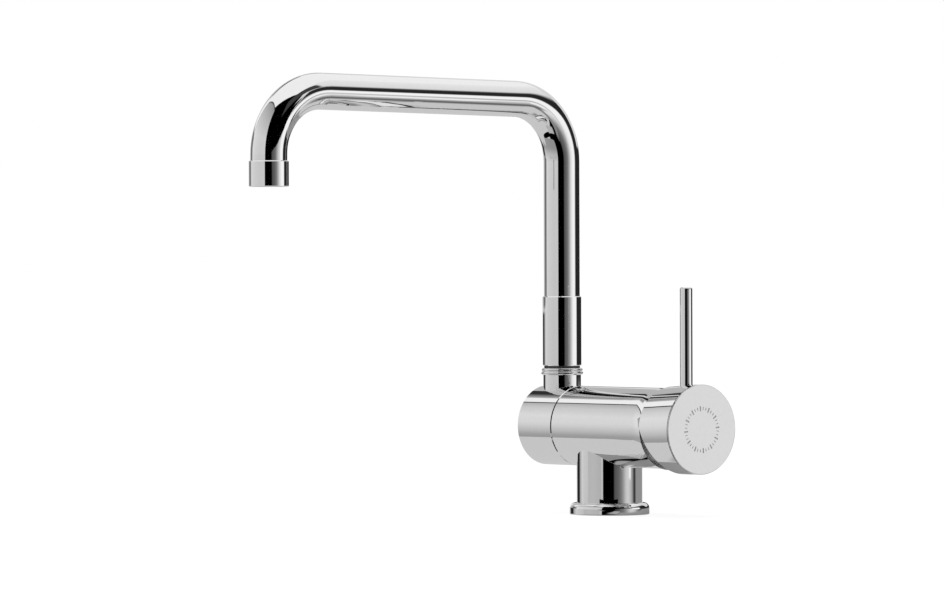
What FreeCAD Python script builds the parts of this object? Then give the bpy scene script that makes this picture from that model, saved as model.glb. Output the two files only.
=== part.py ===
import FreeCAD, Part
import math
import os
import re

import Sketcher
from FreeCAD import Vector

# Single-lever kitchen mixer whose spout folds forward on a hub at the end of its barrel.
# The origin is the centre of the column's foot, on the deck. +Z is up, +X runs along the
# barrel towards the lever, and the spout reaches towards -Y.
doc = FreeCAD.newDocument("mixer_tap")

# Driving dimensions in millimetres and degrees. Distances along the barrel are measured from
# the column's axis, and heights on the spout from the barrel's axis.
sizes = {
    # Fits
    "fit_gap": 0.05,
    "face_gap": 0.05,
    "seam_gap": 0.3,
    "edge_chamfer": 0.5,
    # Column and base ring
    "barrel_height": 53.4,
    "column_width": 40.0,
    "spigot_width": 34.0,
    "flange_width": 48.6,
    "flange_height": 7.3,
    "flange_lip": 3.0,
    "flange_round": 3.5,
    "flange_foot": 0.8,
    "gasket_bore": 38.4,
    "gasket_width": 3.2,
    "gasket_height": 2.0,
    # Supplies and fixing in the column's foot
    "inlet_spacing": 17.0,
    "inlet_thread": 9.0,
    "inlet_depth": 12.0,
    "inlet_bore": 7.0,
    "stud_thread": 6.8,
    "stud_depth": 16.0,
    "stud_offset": 12.0,
    "outlet_bore": 7.6,
    "outlet_rise": 5.0,
    # Barrel
    "barrel_width": 48.8,
    "body_reach": 56.6,
    "flare_rise": 0.7,
    "flare_length": 8.6,
    "hub_seam": 26.5,
    "socket_depth": 17.5,
    "socket_bore": 18.0,
    # Spindle and brake of the hub
    "spindle_shank_end": 11.0,
    "spindle_flange": 3.0,
    "spindle_flange_width": 27.0,
    "journal_width": 18.0,
    "spindle_bore": 11.0,
    "washer_thickness": 1.0,
    "washer_width": 26.6,
    "clip_thickness": 1.0,
    "clip_margin": 0.4,
    "clip_depth": 0.8,
    "clip_rise": 1.8,
    "spindle_relief": 0.3,
    "port_width": 5.0,
    "ring_wire": 1.75,
    "ring_groove": 2.4,
    "inner_ring": 34.9,
    "outer_ring": 51.2,
    # Hub
    "hub_length": 31.5,
    "hub_recess": 28.0,
    "gallery_bore": 26.0,
    "gallery_width": 9.0,
    "end_cap_width": 40.0,
    "end_cap_thickness": 1.8,
    "riser_offset": 44.3,
    "neck_width": 23.2,
    "neck_height": 31.0,
    "neck_bore_depth": 12.0,
    "neck_passage": 8.0,
    # Swivel of the spout
    "nipple_shank": 16.0,
    "nipple_width": 18.4,
    "nipple_bore": 10.0,
    "nipple_top": 58.5,
    "low_nipple_ring": 41.0,
    "high_nipple_ring": 49.0,
    "nipple_clip_height": 55.6,
    "nipple_clip_rise": 1.0,
    "low_bead": 2.3,
    "low_bulge": 0.9,
    "high_bead": 1.8,
    "high_bulge": 0.6,
    "bead_valley": 24.0,
    "glide_height": 1.5,
    "glide_width": 22.0,
    "sleeve_width": 23.8,
    "sleeve_length": 42.7,
    "sleeve_relief": 20.8,
    "sleeve_chamfer": 0.5,
    # Bent tube and outlet
    "tube_width": 22.0,
    "tube_wall": 1.0,
    "tube_seat": 62.0,
    "riser_height": 199.5,
    "arm_length": 227.5,
    "arm_rise": 1.1,
    "drop_length": 57.8,
    "bend_radius": 38.0,
    "shell_width": 23.8,
    "shell_length": 15.5,
    "shell_lip": 0.8,
    "shell_mouth": 19.2,
    "ferrule_spigot": 3.3,
    "ferrule_bore": 16.0,
    "insert_height": 5.2,
    "insert_floor": 2.0,
    "insert_wall": 1.2,
    "jet_width": 2.2,
    "inner_jets": 3.6,
    "outer_jets": 7.0,
    "screen_thickness": 0.4,
    "outlet_washer": 1.6,
    # Cartridge
    "cartridge_width": 34.8,
    "chamber_depth": 20.6,
    "port_plate": 3.0,
    "port_bore": 6.0,
    "seal_wire": 1.3,
    "disc_thickness": 3.0,
    "moving_disc_width": 21.0,
    "mixing_width": 11.0,
    "mixing_depth": 1.8,
    "carrier_thickness": 3.5,
    "rotor_play": 0.4,
    "rotor_flange": 3.9,
    "rotor_slack": 0.2,
    "rotor_neck": 18.8,
    "rotor_cover": 3.5,
    "slot_length": 12.4,
    "housing_wall": 2.9,
    "housing_collar": 2.0,
    "housing_roof": 4.0,
    "collar_length": 3.0,
    "pivot_rise": 5.15,
    "nut_wall": 2.6,
    "nut_depth": 7.6,
    "nut_relief": 0.5,
    "nut_nose": 3.4,
    "dome_gap": 1.3,
    "dome_rim": 2.55,
    "dome_length": 8.4,
    "dome_plate": 1.5,
    "dome_hole": 24.0,
    # Stem
    "stem_width": 6.8,
    "stem_depth": 7.0,
    "stem_reach": 19.0,
    "stem_root": 4.0,
    "shank_width": 3.0,
    "ball_width": 4.2,
    "ball_drop": 10.7,
    "ball_slack": 0.2,
    "pivot_pin": 3.0,
    "pin_inset": 0.5,
    # Cap and lever
    "cap_gap": 0.6,
    "cap_length": 26.7,
    "cap_overhang": 1.2,
    "cap_spread": 0.9,
    "cap_rear_drop": 1.0,
    "cap_wall": 2.5,
    "cap_front_wall": 3.4,
    "cap_cut_angle": 23.0,
    "cap_cut_height": 2.0,
    "plate_thickness": 0.9,
    "plate_inset": 0.2,
    "plate_chamfer": 0.3,
    "plate_step": 1.2,
    "plate_step_width": 46.0,
    "boss_width": 15.0,
    "boss_clearance": 10.0,
    "pillar_width": 10.0,
    "lever_setback": 14.3,
    "lever_width": 7.6,
    "lever_height": 85.3,
    "lever_seat": 24.4,
    "lever_round": 1.2,
    "lever_thread": 5.8,
    "lever_thread_length": 10.0,
    "grub_length": 8.0,
    "grub_key": 3.0,
}

# Places that several pieces share, each worked out from the sizes above.
places = {
    # Along the barrel, on the hub's side of the column
    "hub_face": "-(hub_seam + seam_gap)",
    "hub_end": "hub_face - hub_length",
    "end_cap_seat": "hub_end + end_cap_thickness",
    "web_face": "-(hub_seam + spindle_flange + washer_thickness + face_gap)",
    "gallery_near": "-riser_offset + gallery_width / 2",
    "gallery_far": "-riser_offset - gallery_width / 2",
    "spindle_end": "end_cap_seat + spindle_relief",
    "clip_far": "spindle_end + clip_margin",
    "clip_near": "clip_far + clip_thickness",
    "outer_web_face": "clip_near + washer_thickness + face_gap",
    "journal_bore": "journal_width / 2 + fit_gap",
    "groove_radius": "journal_width / 2 - ring_wire",
    # Up the neck and the spout
    "bead_base": "neck_height",
    "bead_height": "low_bead + high_bead",
    "glide_base": "bead_base + bead_height + face_gap",
    "sleeve_base": "neck_height + bead_height + glide_height",
    "sleeve_top": "sleeve_base + sleeve_length",
    "nipple_groove": "nipple_width / 2 - ring_wire",
    "nipple_journal": "nipple_width / 2 + fit_gap",
    # Along the cartridge
    "floor_x": "body_reach - chamber_depth",
    "port_face": "floor_x + port_plate",
    "fixed_face": "port_face + disc_thickness",
    "moving_base": "fixed_face + face_gap",
    "moving_face": "moving_base + disc_thickness",
    "carrier_face": "moving_face + carrier_thickness",
    "rotor_base": "carrier_face + rotor_play",
    "rotor_shoulder": "rotor_base + rotor_flange",
    "rotor_top": "pivot_x + rotor_cover",
    "roof_inside": "rotor_shoulder + face_gap",
    "housing_top": "roof_inside + housing_roof",
    "housing_step": "housing_top - collar_length",
    "nut_thread": "cartridge_width + 2 * nut_wall",
    "pivot_x": "rotor_shoulder + pivot_rise",
    "nut_base": "body_reach - nut_depth",
    "nut_top": "body_reach + nut_nose",
    "dome_top": "body_reach + dome_length",
    "cavity_radius": "cartridge_width / 2 - housing_wall",
    # Flare, cap and lever
    "flare_width": "barrel_width + 2 * flare_rise",
    "cap_rear_width": "flare_width + 2 * cap_overhang",
    "cap_width": "cap_rear_width + 2 * cap_spread",
    "plate_width": "cap_width - 2 * plate_inset",
    "dome_width": "cap_rear_width - 2 * (cap_wall + cap_rear_drop + dome_gap)",
    "nut_nose_width": "dome_width - 2 * dome_rim",
    "lever_offset": "body_reach + lever_setback",
    "cap_rear": "body_reach + cap_gap",
    "cap_front": "cap_rear + cap_length",
    "cap_inside": "cap_front - cap_front_wall",
    "stem_tip": "pivot_x + stem_reach",
    "boss_rear": "pivot_x + boss_clearance",
    "cut_depth": "(cap_cut_height + cap_width) * tan(cap_cut_angle)",
    # Outlet, measured up from its tip
    "insert_top": "shell_lip + insert_height",
    "ferrule_end": "insert_top + outlet_washer",
    "tube_end": "shell_length + face_gap",
    "thread_radius": "tube_width / 2 - fit_gap",
}

sheet = doc.addObject("Spreadsheet::Sheet", "Sizes")
for row, (name, amount) in enumerate(sizes.items(), start=1):
    sheet.set(f"A{row}", name)
    sheet.set(f"B{row}", str(amount))
    sheet.setAlias(f"B{row}", name)
doc.recompute()

nodes = []


# An expression in which size names point at the sheet and place names are spelled out.
def bound(text):
    def spell(match):
        word = match.group(0)
        if word in places:
            return "(" + bound(places[word]) + ")"
        return "Sizes." + word if word in sizes else word

    return re.sub(r"[a-z_]+", spell, text)


# The number that such an expression has now, which starts a sketch close to its solution.
def amount_of(text):
    return float(sheet.evalExpression(bound(text)))


def place(thing, x, y, z):
    for axis, text in (("x", x), ("y", y), ("z", z)):
        thing.setExpression(f"Placement.Base.{axis}", bound(text))


# A body with its own origin, by default where the column's axis meets the barrel's.
def new_body(label, x="0", y="0", z="barrel_height"):
    body = doc.addObject("PartDesign::Body", label)
    body.Label = label
    place(body, x, y, z)
    nodes.append(body)
    return body


def riser_body(label):
    return new_body(label, x="-riser_offset")


def origin_part(body, role):
    return next(item for item in body.Origin.OriginFeatures if item.Role == role)


def new_sketch(body, name, role, lift=None):
    sketch = body.newObject("Sketcher::SketchObject", name)
    sketch.AttachmentSupport = [(origin_part(body, role), "")]
    sketch.MapMode = "FlatFace"
    if lift:
        sketch.setExpression("AttachmentOffset.Base.z", bound(lift))
    return sketch


# Ties one point of a sketch to two coordinates, each an expression.
def pin_point(sketch, edge, end, across, up):
    for kind, axis, text in (("DistanceX", -2, across), ("DistanceY", -1, up)):
        if text == "0":
            sketch.addConstraint(Sketcher.Constraint("PointOnObject", edge, end, axis))
            continue
        index = sketch.addConstraint(Sketcher.Constraint(kind, -1, 1, edge, end, amount_of(text)))
        sketch.setExpression(f"Constraints[{index}]", bound(text))


# The arc of a given radius from one point to another, which turns left or right on the way.
def arc_between(start, end, radius, turn):
    chord = end - start
    side = 1 if turn == "left" else -1
    normal = Vector(-chord.y, chord.x, 0) * (side / chord.Length)
    centre = (start + end) * 0.5 + normal * math.sqrt(radius**2 - (chord.Length / 2) ** 2)
    first, last = (start, end) if turn == "left" else (end, start)
    angles = [math.atan2(point.y - centre.y, point.x - centre.x) for point in (first, last)]
    return Part.ArcOfCircle(Part.Circle(centre, Vector(0, 0, 1), radius), *angles)


# Draws a run of edges. A corner is its two coordinates, and where the edge after it is an
# arc, also that arc's radius and the side it turns to. A closed run is a profile, an open
# one a path.
def draw_run(sketch, corners, closed=True):
    points = [Vector(amount_of(corner[0]), amount_of(corner[1]), 0) for corner in corners]
    count = len(corners) if closed else len(corners) - 1
    ends = []
    for step in range(count):
        start, end = points[step], points[(step + 1) % len(points)]
        if len(corners[step]) == 2:
            edge = sketch.addGeometry(Part.LineSegment(start, end))
            ends.append((edge, 1, 2))
            continue
        radius, turn = corners[step][2:]
        edge = sketch.addGeometry(arc_between(start, end, amount_of(radius), turn))
        index = sketch.addConstraint(Sketcher.Constraint("Radius", edge, amount_of(radius)))
        sketch.setExpression(f"Constraints[{index}]", bound(radius))
        ends.append((edge, 1, 2) if turn == "left" else (edge, 2, 1))
    for step, (edge, first, last) in enumerate(ends):
        pin_point(sketch, edge, first, *corners[step][:2])
        if closed or step + 1 < count:
            following = ends[(step + 1) % count]
            sketch.addConstraint(Sketcher.Constraint("Coincident", edge, last, following[0], following[1]))
        else:
            pin_point(sketch, edge, last, *corners[-1][:2])


def draw_circle(sketch, width, across="0", up="0"):
    centre = Vector(amount_of(across), amount_of(up), 0)
    radius = amount_of(width) / 2
    edge = sketch.addGeometry(Part.Circle(centre, Vector(0, 0, 1), radius))
    pin_point(sketch, edge, 3, across, up)
    index = sketch.addConstraint(Sketcher.Constraint("Radius", edge, radius))
    sketch.setExpression(f"Constraints[{index}]", bound(f"({width}) / 2"))


def draw_rectangle(sketch, width, height):
    half, rise = f"({width}) / 2", f"({height}) / 2"
    draw_run(sketch, [(f"-{half}", f"-{rise}"), (half, f"-{rise}"), (half, rise), (f"-{half}", rise)])


# A turned form. Its profile lies in the XZ plane and turns about the barrel's axis or,
# where upright, about the vertical through the body's origin.
def turn(body, name, corners, upright=False, cut=False, angle=360):
    sketch = new_sketch(body, name + "Profile", "XZ_Plane")
    draw_run(sketch, corners)
    feature = body.newObject("PartDesign::Groove" if cut else "PartDesign::Revolution", name)
    feature.Profile = sketch
    feature.ReferenceAxis = (sketch, ["V_Axis" if upright else "H_Axis"])
    feature.Angle = angle
    return feature


# A straight form along its sketch's normal, or against it where backward is set. Without a
# length a cut runs through everything on that side.
def extrude(body, name, sketch, length=None, cut=False, backward=False, both=False):
    feature = body.newObject("PartDesign::Pocket" if cut else "PartDesign::Pad", name)
    feature.Profile = sketch
    feature.Reversed = cut != backward
    feature.Midplane = both
    if length is None:
        feature.Type = "ThroughAll"
    else:
        feature.setExpression("Length", bound(length))
    return feature


# A round cut or boss on an origin plane, lifted along the plane's normal.
def round_form(body, name, role, width, across="0", up="0", lift=None, **options):
    sketch = new_sketch(body, name + "Circle", role, lift)
    draw_circle(sketch, width, across, up)
    return extrude(body, name, sketch, **options)


def drilled_hole(body, name, width, depth, across, up, lift):
    sketch = new_sketch(body, name + "Centre", "XY_Plane", lift)
    draw_circle(sketch, width, across, up)
    doc.recompute()
    hole = body.newObject("PartDesign::Hole", name)
    hole.Profile = sketch
    hole.Threaded = False
    hole.DepthType = "Dimension"
    hole.DrillPoint = "Angled"
    hole.Reversed = True
    hole.setExpression("Diameter", bound(width))
    hole.setExpression("Depth", bound(depth))
    return hole


def turned_pattern(body, name, feature, axis, copies):
    pattern = body.newObject("PartDesign::PolarPattern", name)
    pattern.Originals = [feature]
    pattern.Axis = (origin_part(body, axis), [""])
    pattern.Angle = 360
    pattern.Occurrences = copies
    body.Tip = pattern
    return pattern


# Rings of round wire: each entry is a centre and the middle radius of the wire.
def wire_rings(label, rings, wire, along_barrel):
    parts = []
    for x, y, z, radius in rings:
        ring = doc.addObject("Part::Torus", f"{label}_{len(parts) + 1}")
        if along_barrel:
            ring.Placement = FreeCAD.Placement(Vector(), FreeCAD.Rotation(Vector(0, 1, 0), 90))
        ring.setExpression("Radius1", bound(radius))
        ring.setExpression("Radius2", bound(f"({wire}) / 2"))
        place(ring, x, y, z)
        parts.append(ring)
    group = doc.addObject("Part::Compound", label)
    group.Label = label
    group.Links = parts
    nodes.append(group)


# Flat rings about the barrel's axis, each given by its two faces, as one group.
def flat_rings(label, faces, width, bore):
    parts = []
    for low, high in faces:
        outer = doc.addObject("Part::Cylinder", f"{label}_{len(parts) + 1}_rim")
        inner = doc.addObject("Part::Cylinder", f"{label}_{len(parts) + 1}_bore")
        for solid, size in ((outer, width), (inner, bore)):
            solid.Placement = FreeCAD.Placement(Vector(), FreeCAD.Rotation(Vector(0, 1, 0), 90))
            solid.setExpression("Radius", bound(f"({size}) / 2"))
            solid.setExpression("Height", bound(f"({high}) - ({low})"))
            place(solid, low, "0", "barrel_height")
        ring = doc.addObject("Part::Cut", f"{label}_{len(parts) + 1}")
        ring.Base = outer
        ring.Tool = inner
        parts.append(ring)
    group = doc.addObject("Part::Compound", label)
    group.Label = label
    group.Links = parts
    nodes.append(group)


# Base ring under the column, with a lip that the column stands on and a groove for the gasket.
def make_base_flange():
    body = new_body("base_flange", z="0")
    seat = "column_width / 2 + fit_gap"
    turn(body, "Ring", [
        ("spigot_width / 2 + fit_gap", "0"),
        ("gasket_bore / 2", "0"),
        ("gasket_bore / 2", "gasket_height"),
        ("gasket_bore / 2 + gasket_width", "gasket_height"),
        ("gasket_bore / 2 + gasket_width", "0"),
        ("flange_width / 2 - flange_foot", "0", "flange_foot", "left"),
        ("flange_width / 2", "flange_foot"),
        ("flange_width / 2", "flange_height - flange_round", "flange_round", "left"),
        ("flange_width / 2 - flange_round", "flange_height"),
        (seat + " + edge_chamfer", "flange_height"),
        (seat, "flange_height - edge_chamfer"),
        (seat, "flange_lip"),
        ("spigot_width / 2 + fit_gap", "flange_lip"),
    ], upright=True)


def make_base_gasket():
    body = new_body("base_gasket", z="0")
    inside = "gasket_bore / 2 + fit_gap"
    outside = "gasket_bore / 2 + gasket_width - fit_gap"
    top = "gasket_height - face_gap"
    turn(body, "Gasket", [(inside, "0"), (outside, "0"), (outside, top), (inside, top)], upright=True)


# Barrel and column in one casting: chamber and supplies for the cartridge on one side, the
# spindle's socket on the other, and the mixed water's gallery between them.
def make_body_casting():
    body = new_body("body_casting")
    flare_radius = "(flare_length^2 + flare_rise^2) / (2 * flare_rise)"
    turn(body, "Barrel", [
        ("-hub_seam", "0"),
        ("body_reach", "0"),
        ("body_reach", "flare_width / 2", flare_radius, "right"),
        ("body_reach - flare_length", "barrel_width / 2"),
        ("-hub_seam + edge_chamfer", "barrel_width / 2"),
        ("-hub_seam", "barrel_width / 2 - edge_chamfer"),
    ])
    turn(body, "Column", [
        ("0", "0"),
        ("column_width / 2", "0"),
        ("column_width / 2", "flange_lip - barrel_height"),
        ("spigot_width / 2", "flange_lip - barrel_height"),
        ("spigot_width / 2", "-barrel_height"),
        ("0", "-barrel_height"),
    ], upright=True)
    turn(body, "CartridgeChamber", [
        ("floor_x", "0"),
        ("floor_x", "cartridge_width / 2 + fit_gap"),
        ("nut_base", "cartridge_width / 2 + fit_gap"),
        ("nut_base", "nut_thread / 2"),
        ("body_reach + seam_gap", "nut_thread / 2"),
        ("body_reach + seam_gap", "0"),
    ], cut=True)
    socket_end = "socket_depth - hub_seam"
    turn(body, "SpindleSocket", [
        ("-hub_seam - seam_gap", "0"),
        ("-hub_seam - seam_gap", "socket_bore / 2"),
        (socket_end, "socket_bore / 2"),
        (socket_end, "0"),
    ], cut=True)
    round_form(body, "MixedGallery", "YZ_Plane", "outlet_bore", up="outlet_rise", lift="socket_depth - hub_seam",
               length="chamber_depth + floor_x", cut=True)
    for name, side in (("Hot", "inlet_spacing / 2"), ("Cold", "-inlet_spacing / 2")):
        round_form(body, name + "Port", "YZ_Plane", "inlet_bore", across=side,
                   length="chamber_depth + floor_x", cut=True)
        round_form(body, name + "Riser", "XY_Plane", "inlet_bore", up=side, cut=True, backward=True)
        drilled_hole(body, name + "Inlet", "inlet_thread", "inlet_depth", "0", side, "-barrel_height")
    drilled_hole(body, "StudHole", "stud_thread", "stud_depth", "stud_offset", "0", "-barrel_height")


# Hollow spindle: a shank in the casting, a flange against its face, and a journal with two
# seal grooves, a clip groove and ports into the hub's gallery.
def make_pivot_spindle():
    body = new_body("pivot_spindle")
    journal = "journal_width / 2"
    corners = [
        ("-spindle_shank_end", "spindle_bore / 2"),
        ("-spindle_shank_end", "socket_bore / 2 - fit_gap"),
        ("-hub_seam", "socket_bore / 2 - fit_gap"),
        ("-hub_seam", "spindle_flange_width / 2"),
        ("-hub_seam - spindle_flange", "spindle_flange_width / 2"),
        ("-hub_seam - spindle_flange", journal),
    ]
    for near, far, depth in (
        ("ring_groove / 2 - inner_ring", "-ring_groove / 2 - inner_ring", "groove_radius"),
        ("gallery_near", "gallery_far", "groove_radius"),
        ("ring_groove / 2 - outer_ring", "-ring_groove / 2 - outer_ring", "groove_radius"),
        ("clip_near", "clip_far", "journal_width / 2 - clip_depth"),
    ):
        corners += [(near, journal), (near, depth), (far, depth), (far, journal)]
    corners += [
        ("spindle_end", journal),
        ("spindle_end", "0"),
        ("gallery_far", "0"),
        ("gallery_far", "spindle_bore / 2"),
    ]
    turn(body, "Spindle", corners)
    port = round_form(body, "Port", "XY_Plane", "port_width", across="-riser_offset", cut=True)
    turned_pattern(body, "Ports", port, "X_Axis", 4)


def make_spindle_seals():
    middle = "groove_radius + ring_wire / 2"
    wire_rings("spindle_orings", [
        ("-inner_ring", "0", "barrel_height", middle),
        ("-outer_ring", "0", "barrel_height", middle),
    ], "ring_wire - fit_gap", along_barrel=True)
    flat_rings("friction_washers", [
        ("web_face + face_gap", "-hub_seam - spindle_flange"),
        ("clip_near", "clip_near + washer_thickness"),
    ], "washer_width", "journal_width + 2 * fit_gap")


# Split ring in a groove, open over thirty degrees.
def split_ring(body, low, high, inside, outside, upright):
    if upright:
        corners = [(inside, low), (outside, low), (outside, high), (inside, high)]
    else:
        corners = [(low, inside), (high, inside), (high, outside), (low, outside)]
    turn(body, "Clip", corners, upright=upright, angle=330)


def make_spindle_circlip():
    body = new_body("spindle_circlip")
    inside = "journal_width / 2 - clip_depth + fit_gap"
    split_ring(body, "clip_far + face_gap", "clip_near", inside, "journal_width / 2 + clip_rise", upright=False)


# Hub: a short barrel with the neck on top, bored for the spindle, with a gallery round the
# spindle's ports and a passage up the neck.
def make_spout_hub():
    body = new_body("spout_hub")
    turn(body, "Barrel", [
        ("hub_face", "0"),
        ("hub_face", "barrel_width / 2 - edge_chamfer"),
        ("hub_face - edge_chamfer", "barrel_width / 2"),
        ("hub_end + edge_chamfer", "barrel_width / 2"),
        ("hub_end", "barrel_width / 2 - edge_chamfer"),
        ("hub_end", "0"),
    ])
    round_form(body, "Neck", "XY_Plane", "neck_width", across="-riser_offset", length="neck_height")
    turn(body, "Bores", [
        ("hub_face + seam_gap", "0"),
        ("hub_face + seam_gap", "hub_recess / 2"),
        ("web_face", "hub_recess / 2"),
        ("web_face", "journal_bore"),
        ("gallery_near", "journal_bore"),
        ("gallery_near", "gallery_bore / 2"),
        ("gallery_far", "gallery_bore / 2"),
        ("gallery_far", "journal_bore"),
        ("outer_web_face", "journal_bore"),
        ("outer_web_face", "hub_recess / 2"),
        ("end_cap_seat", "hub_recess / 2"),
        ("end_cap_seat", "end_cap_width / 2"),
        ("hub_end - seam_gap", "end_cap_width / 2"),
        ("hub_end - seam_gap", "0"),
    ], cut=True)
    round_form(body, "NippleBore", "XY_Plane", "nipple_shank + 2 * fit_gap", across="-riser_offset",
               lift="neck_height - neck_bore_depth", cut=True)
    round_form(body, "Passage", "XY_Plane", "neck_passage", across="-riser_offset",
               lift="(journal_bore + gallery_bore / 2) / 2", cut=True)


def make_hub_end_cap():
    body = new_body("hub_end_cap")
    rim = "end_cap_width / 2 - fit_gap"
    turn(body, "Cap", [
        ("end_cap_seat", "0"),
        ("end_cap_seat", rim),
        ("hub_end + edge_chamfer", rim),
        ("hub_end", f"{rim} - edge_chamfer"),
        ("hub_end", "0"),
    ])


# Nipple in the neck, with two seal grooves and a clip groove on its journal.
def make_neck_nipple():
    body = riser_body("neck_nipple")
    journal = "nipple_width / 2"
    corners = [
        ("nipple_bore / 2", "neck_height - neck_bore_depth + face_gap"),
        ("nipple_shank / 2", "neck_height - neck_bore_depth + face_gap"),
        ("nipple_shank / 2", "neck_height"),
        (journal, "neck_height"),
    ]
    for low, high, depth in (
        ("low_nipple_ring - ring_groove / 2", "low_nipple_ring + ring_groove / 2", "nipple_groove"),
        ("high_nipple_ring - ring_groove / 2", "high_nipple_ring + ring_groove / 2", "nipple_groove"),
        ("nipple_clip_height", "nipple_clip_height + clip_thickness", "nipple_width / 2 - clip_depth"),
    ):
        corners += [(journal, low), (depth, low), (depth, high), (journal, high)]
    corners += [
        (journal, "nipple_top - edge_chamfer"),
        (f"{journal} - edge_chamfer", "nipple_top"),
        ("nipple_bore / 2", "nipple_top"),
    ]
    turn(body, "Nipple", corners, upright=True)


def make_nipple_seals():
    middle = "nipple_groove + ring_wire / 2"
    wire_rings("nipple_orings", [
        ("-riser_offset", "0", "barrel_height + low_nipple_ring", middle),
        ("-riser_offset", "0", "barrel_height + high_nipple_ring", middle),
    ], "ring_wire - fit_gap", along_barrel=False)
    body = riser_body("nipple_clip")
    inside = "nipple_width / 2 - clip_depth + fit_gap"
    split_ring(body, "nipple_clip_height", "nipple_clip_height + clip_thickness - face_gap", inside,
               "nipple_width / 2 + nipple_clip_rise", upright=True)


# Ring above the neck, with two rounded beads.
def make_swivel_ring():
    body = riser_body("swivel_ring")
    valley = "bead_valley / 2"
    low_radius = "((low_bead / 2)^2 + low_bulge^2) / (2 * low_bulge)"
    high_radius = "((high_bead / 2)^2 + high_bulge^2) / (2 * high_bulge)"
    turn(body, "Beads", [
        ("nipple_journal", "bead_base"),
        (valley, "bead_base", low_radius, "left"),
        (valley, "bead_base + low_bead", high_radius, "left"),
        (valley, "bead_base + bead_height"),
        ("nipple_journal", "bead_base + bead_height"),
    ], upright=True)


def make_glide_washer():
    body = riser_body("glide_washer")
    turn(body, "Washer", [
        ("nipple_journal", "glide_base"),
        ("glide_width / 2", "glide_base"),
        ("glide_width / 2", "sleeve_base"),
        ("nipple_journal", "sleeve_base"),
    ], upright=True)


# Long socket that turns on the nipple below and holds the tube above.
def make_swivel_sleeve():
    body = riser_body("swivel_sleeve")
    step = "nipple_clip_height - clip_thickness / 2"
    turn(body, "Sleeve", [
        ("nipple_journal", "sleeve_base"),
        ("sleeve_width / 2 - sleeve_chamfer", "sleeve_base"),
        ("sleeve_width / 2", "sleeve_base + sleeve_chamfer"),
        ("sleeve_width / 2", "sleeve_top - sleeve_chamfer"),
        ("sleeve_width / 2 - sleeve_chamfer", "sleeve_top"),
        ("tube_width / 2 + fit_gap", "sleeve_top"),
        ("tube_width / 2 + fit_gap", "tube_seat"),
        ("sleeve_relief / 2", "tube_seat"),
        ("sleeve_relief / 2", step),
        ("nipple_journal", step),
    ], upright=True)


# Bent tube: riser, arm and drop joined by two equal bends. The path starts on the seat in
# the sleeve. The arm climbs a little towards the outlet, and the drop hangs plumb.
def make_spout_tube():
    body = riser_body("spout_tube")
    path = new_sketch(body, "Path", "YZ_Plane")
    near_bend = "bend_radius * tan((90 - arm_rise) / 2)"
    far_bend = "bend_radius * tan((90 + arm_rise) / 2)"
    far_y = "-arm_length * cos(arm_rise)"
    far_z = "riser_height + arm_length * sin(arm_rise)"
    draw_run(path, [
        ("0", "tube_seat + face_gap"),
        ("0", f"riser_height - {near_bend}", "bend_radius", "left"),
        (f"-{near_bend} * cos(arm_rise)", f"riser_height + {near_bend} * sin(arm_rise)"),
        (f"{far_y} + {far_bend} * cos(arm_rise)", f"{far_z} - {far_bend} * sin(arm_rise)",
         "bend_radius", "left"),
        (far_y, f"{far_z} - {far_bend}"),
        (far_y, f"{far_z} - drop_length + tube_end"),
    ], closed=False)
    for name, kind, width in (
        ("Wall", "PartDesign::AdditivePipe", "tube_width"),
        ("Bore", "PartDesign::SubtractivePipe", "tube_width - 2 * tube_wall"),
    ):
        section = new_sketch(body, name + "Section", "XY_Plane", lift="tube_seat + face_gap")
        draw_circle(section, width)
        pipe = body.newObject(kind, name)
        pipe.Profile = section
        pipe.Spine = path


# The outlet's pieces stand on one point: the middle of the tap's mouth.
def outlet_body(label):
    return new_body(label, x="-riser_offset", y="-arm_length * cos(arm_rise)",
                    z="barrel_height + riser_height + arm_length * sin(arm_rise) - drop_length")


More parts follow.
